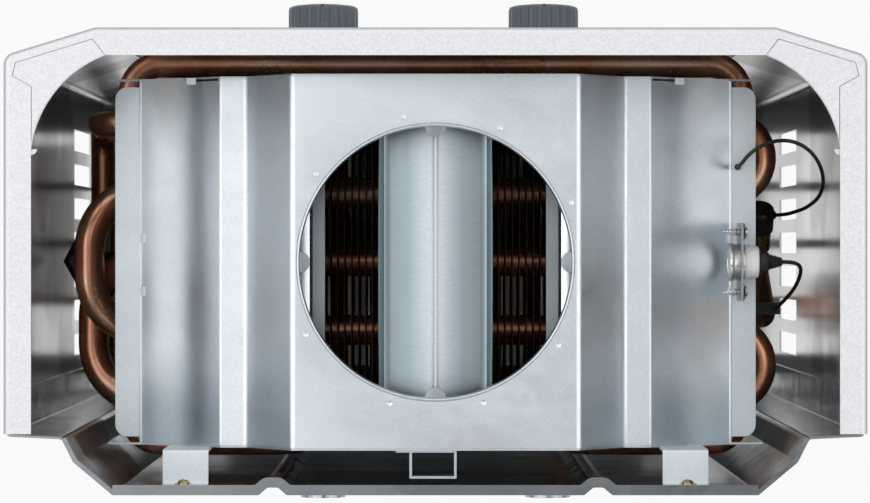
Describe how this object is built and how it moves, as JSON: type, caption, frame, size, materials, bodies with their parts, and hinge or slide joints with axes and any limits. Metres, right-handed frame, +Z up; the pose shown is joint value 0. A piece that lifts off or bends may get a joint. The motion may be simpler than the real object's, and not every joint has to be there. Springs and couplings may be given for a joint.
{
  "type": "gas tankless water heater",
  "caption": "Wall-hung gas water heater with an open top: silver louvred casing, galvanised draught hood with a round flue hole, copper finned exchanger and front knobs.",
  "frame": {"origin": "centre of the rectangle of wall screw holes, on the wall plane", "axes": "+Z up, front faces -Y, +Y into the wall"},
  "size_m": [0.347, 0.222, 0.598],
  "materials": {
    "casing_paint": "fine silver spray paint with metallic grain",
    "plate_steel": "duller galvanised sheet of the back plate",
    "galvanised": "bare galvanised sheet, soft sheen",
    "chamber_steel": "plain steel sheet, heat dulled",
    "copper": "heat-darkened copper pipe, semi-gloss",
    "fin_copper": "dark copper sheet",
    "brass": "turned brass",
    "cast_metal": "die-cast, as cast",
    "screw_steel": "bright plated steel",
    "yellow_zinc": "yellow zinc plating",
    "knob_plastic": "slate grey moulded plastic, satin",
    "black_plastic": "black moulded plastic",
    "black_rubber": "black rubber and lead sheath",
    "ceramic": "white unglazed ceramic",
    "battery_skin": "plain wrapped cell",
    "sight_glass": "clear heat-proof glass"
  },
  "bodies": {
    "heater": {"front_cover": "casing_paint", "corner_gussets": "casing_paint", "back_plate": "plate_steel", "bottom_plate": "galvanised", "hood_cover": "galvanised", "hood_end_left": "galvanised", "hood_end_right": "galvanised", "hood_front_wall": "galvanised", "hood_rear_wall": "galvanised", "flue_collar": "galvanised", "hood_baffle": "galvanised", "baffle_rails": "galvanised", "hood_straps": "galvanised", "rear_stay": "galvanised", "thermostat_bracket": "galvanised", "combustion_chamber": "chamber_steel", "burner_frame": "chamber_steel", "burner_bars": "chamber_steel", "gas_manifold": "chamber_steel", "exchanger_tubes": "copper", "return_bends_left": "copper", "return_bends_right": "copper", "chamber_coil": "copper", "hot_pipe": "copper", "cold_pipe": "copper", "exchanger_fins": "fin_copper", "exchanger_shell": "fin_copper", "gas_inlet": "brass", "cold_inlet": "brass", "hot_outlet": "brass", "sensor_pocket": "brass", "gas_valve": "cast_metal", "water_valve": "cast_metal", "diaphragm_cover": "cast_metal", "cover_screws": "screw_steel", "thermostat_screws": "screw_steel", "thermostat": "screw_steel", "strap_screws": "yellow_zinc", "igniter_module": "black_plastic", "micro_switch": "black_plastic", "battery_box": "black_plastic", "gas_solenoid": "black_plastic", "sensor_plug": "black_plastic", "thermostat_boot": "black_rubber", "thermostat_lead": "black_rubber", "sensor_lead": "black_rubber", "lead_grommets": "black_rubber", "thermostat_base": "ceramic", "spark_electrodes": "ceramic", "batteries": "battery_skin", "sight_glass": "sight_glass"},
    "flame_control": {"flame_knob": "knob_plastic", "flame_spindle": "brass"},
    "temperature_control": {"temperature_knob": "knob_plastic", "temperature_spindle": "brass"},
    "battery_door": {"battery_cover": "black_plastic"},
    "rod": {"push_rod": "brass"},
    "lever": {"switch_lever": "screw_steel"}
  },
  "joints": [
    {"name": "flame_knob_turn", "type": "hinge", "parent": "heater", "child": "flame_control", "pos_m": [0.056, -0.19, -0.125], "axis": [0, 1, 0], "range_deg": [0, 240]},
    {"name": "temperature_knob_turn", "type": "hinge", "parent": "heater", "child": "temperature_control", "pos_m": [-0.054, -0.19, -0.125], "axis": [0, 1, 0], "range_deg": [0, 270]},
    {"name": "battery_cover_swing", "type": "hinge", "parent": "heater", "child": "battery_door", "pos_m": [0.118, -0.0765, -0.2879], "axis": [1, 0, 0], "range_deg": [0, 100]},
    {"name": "push_rod_slide", "type": "slide", "parent": "heater", "child": "rod", "axis": [1, 0, 0], "range_m": [0, 0.004], "stiffness_N_per_m": 150},
    {"name": "switch_lever_swing", "type": "hinge", "parent": "heater", "child": "lever", "pos_m": [-0.004, -0.1205, -0.11], "axis": [0, -1, 0], "range_deg": [0, 23]}
  ],
  "couplings": [
    {"joint": "switch_lever_swing", "follows": "push_rod_slide", "rad_per_m": 95}
  ]
}
